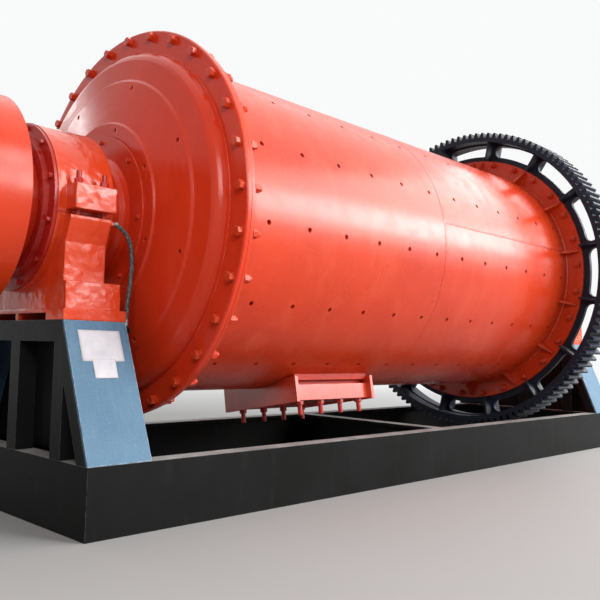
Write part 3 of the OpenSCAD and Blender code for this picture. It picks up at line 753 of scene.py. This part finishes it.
# Lamps: name, place, aim, size in x and y, radiance
LAMPS = (
    ("front_windows", (5.2, -8.2, 4.2), (0.0, 0.0, 1.6), 8.4, 2.1, 16.0),
    ("far_windows", (9.7, -4.1, 4.1), (1.0, 0.0, 1.6), 5.4, 2.0, 9.0),
    ("window_glow", (7.6, -3.0, 6.0), (0.8, 0.0, 1.6), 12.0, 2.8, 5.0),
    ("low_windows", (6.3, -6.2, 2.2), (0.8, 0.0, 1.2), 10.0, 1.7, 2.2),
    ("tall_window", (1.4, -7.0, 6.2), (-2.0, -0.3, 1.3), 1.9, 4.6, 10.0),
    ("feed_fill", (-3.9, -3.6, 3.0), (-1.7, -0.3, 1.2), 2.0, 1.5, 10.0),
    ("roof_lights", (1.0, 1.0, 7.5), (0.5, 0.0, 1.5), 14.0, 8.0, 0.8),
    ("back_windows", (-3.3, 8.0, 5.0), (-1.5, 0.4, 1.8), 1.0, 0.4, 12.0),
    ("rear_fill", (1.0, 9.5, 4.5), (0.0, 0.0, 1.2), 12.0, 4.0, 1.6),
)


def seen_rays(nodes, links):
    """1 for the rays that see the background: from the camera, off gloss and through clear stuff."""
    rays = nodes.new("ShaderNodeLightPath")
    chosen = rays.outputs["Is Camera Ray"]
    for kind in ("Is Glossy Ray", "Is Transmission Ray"):
        either = nodes.new("ShaderNodeMath")
        either.operation = "MAXIMUM"
        links.new(chosen, either.inputs[0])
        links.new(rays.outputs[kind], either.inputs[1])
        chosen = either.outputs[0]
    return chosen


def floor_paint():
    """A plain grey floor round the machine that fades into the pale backdrop farther out."""
    g = Graph("floor")
    g.shader.inputs["Base Color"].default_value = FLOOR_GREY
    g.shader.inputs["Roughness"].default_value = 0.75
    g.shader.inputs["Specular IOR Level"].default_value = 0.2
    far = g.nodes.new("ShaderNodeVectorMath")
    far.operation = "LENGTH"
    g.put(g.coords.outputs["Object"], far.inputs[0])
    fade = g.math("MULTIPLY", g.ramp(far.outputs["Value"], FADE_FROM, FADE_TO),
                  seen_rays(g.nodes, g.links))
    pale = g.nodes.new("ShaderNodeEmission")
    pale.inputs["Color"].default_value = PALE
    blend = g.nodes.new("ShaderNodeMixShader")
    g.put(fade, blend.inputs["Fac"])
    g.put(g.shader.outputs["BSDF"], blend.inputs[1])
    g.put(pale.outputs["Emission"], blend.inputs[2])
    g.put(blend.outputs["Shader"], g.out.inputs["Surface"])
    return g.material


def make_floor():
    bm = bmesh.new()
    turns = [math.radians(a) for a in range(0, 360, FLOOR_STEP)]
    bm.faces.new([bm.verts.new((FLOOR_R * math.cos(a), FLOOR_R * math.sin(a), 0.0)) for a in turns])
    floor = bpy.data.meshes.new("floor")
    bm.to_mesh(floor)
    bm.free()
    floor.materials.append(floor_paint())
    ground = bpy.data.objects.new("floor", floor)
    scene.collection.objects.link(ground)


def make_world():
    """A pale backdrop for the rays that see it, and a weaker sky that lights the part."""
    world = bpy.data.worlds.new("studio")
    world.use_nodes = True
    scene.world = world
    nodes, links = world.node_tree.nodes, world.node_tree.links
    nodes.clear()
    out = nodes.new("ShaderNodeOutputWorld")
    seen = nodes.new("ShaderNodeBackground")
    seen.inputs["Color"].default_value = PALE
    seen.inputs["Strength"].default_value = 1.0
    lit = nodes.new("ShaderNodeBackground")
    lit.inputs["Color"].default_value = SKY
    lit.inputs["Strength"].default_value = SKY_STRENGTH
    pick = nodes.new("ShaderNodeMixShader")
    links.new(seen_rays(nodes, links), pick.inputs["Fac"])
    links.new(lit.outputs[0], pick.inputs[1])
    links.new(seen.outputs[0], pick.inputs[2])
    links.new(pick.outputs[0], out.inputs["Surface"])


def make_lamps():
    for name, place, aim, size_x, size_y, radiance in LAMPS:
        data = bpy.data.lights.new(name, "AREA")
        data.shape = "RECTANGLE"
        data.size, data.size_y = size_x, size_y
        data.energy = radiance * math.pi * size_x * size_y
        lamp = bpy.data.objects.new(name, data)
        lamp.location = place
        lamp.rotation_euler = (Vector(aim) - Vector(place)).to_track_quat("-Z", "Y").to_euler()
        lamp.visible_camera = False
        scene.collection.objects.link(lamp)


make_camera()
lubrication_hose()
dress_nodes()
all_bolts()
shell_welds()
paper_sheets()
make_floor()
make_world()
make_lamps()
scene.view_settings.view_transform = "Standard"
